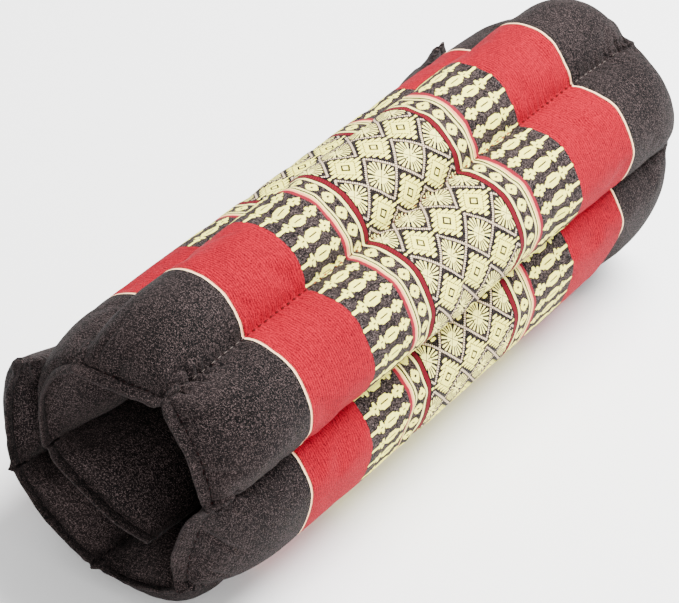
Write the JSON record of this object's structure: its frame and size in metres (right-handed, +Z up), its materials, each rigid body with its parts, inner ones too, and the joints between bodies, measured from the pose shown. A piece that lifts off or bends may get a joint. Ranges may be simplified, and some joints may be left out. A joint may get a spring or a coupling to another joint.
{
  "type": "rolled meditation cushion",
  "caption": "Rollable meditation cushion: a kapok-filled mat sewn into channels and rolled up round a hollow core, with a patterned cover and dark ends.",
  "frame": {"origin": "on the ground, under the middle of the roll's length and width", "axes": "+X along the roll and its channels to its far end, -Y towards the side with the roll's two best-seen channels, +Z up"},
  "size_m": [0.5, 0.2098, 0.1996],
  "materials": {
    "cover_cloth": "matt plain-woven black cotton, with red bands and a woven figured centre on its upper face"
  },
  "bodies": {
    "root": {"rolled_cushion": "cover_cloth"}
  },
  "joints": []
}
